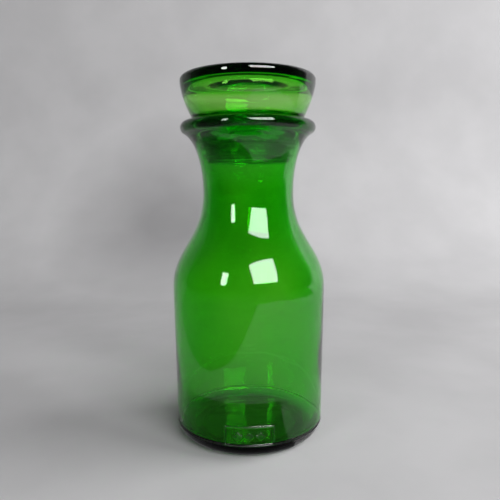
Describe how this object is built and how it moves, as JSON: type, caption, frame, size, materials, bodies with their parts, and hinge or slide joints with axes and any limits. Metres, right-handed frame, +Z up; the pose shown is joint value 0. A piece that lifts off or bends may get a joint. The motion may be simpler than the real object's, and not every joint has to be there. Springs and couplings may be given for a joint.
{
  "type": "stoppered glass jar",
  "caption": "Waisted round glass storage jar with a flared mouth, closed by a hollow bowl-shaped glass stopper on a ribbed sealing ring.",
  "frame": {"origin": "centre of the standing face under the bottle", "axes": "+Z up along the jar's axis, -Y the front with the raised frame, +X to the right seen from the front"},
  "size_m": [0.0854, 0.0854, 0.2],
  "materials": {
    "bottle_glass": "gloss",
    "stopper_glass": "gloss",
    "seal_plastic": "translucent satin"
  },
  "bodies": {
    "bottle": {"bottle": "bottle_glass"},
    "ring": {"sealing_ring": "seal_plastic"},
    "stopper": {"stopper": "stopper_glass"}
  },
  "joints": [
    {"name": "stopper_lift", "type": "slide", "parent": "bottle", "child": "ring", "axis": [0, 0, 1], "range_m": [0, 0.06]},
    {"name": "stopper_turn", "type": "hinge", "parent": "ring", "child": "stopper", "pos_m": [0, 0, 0.16], "axis": [0, 0, 1], "continuous": true}
  ]
}
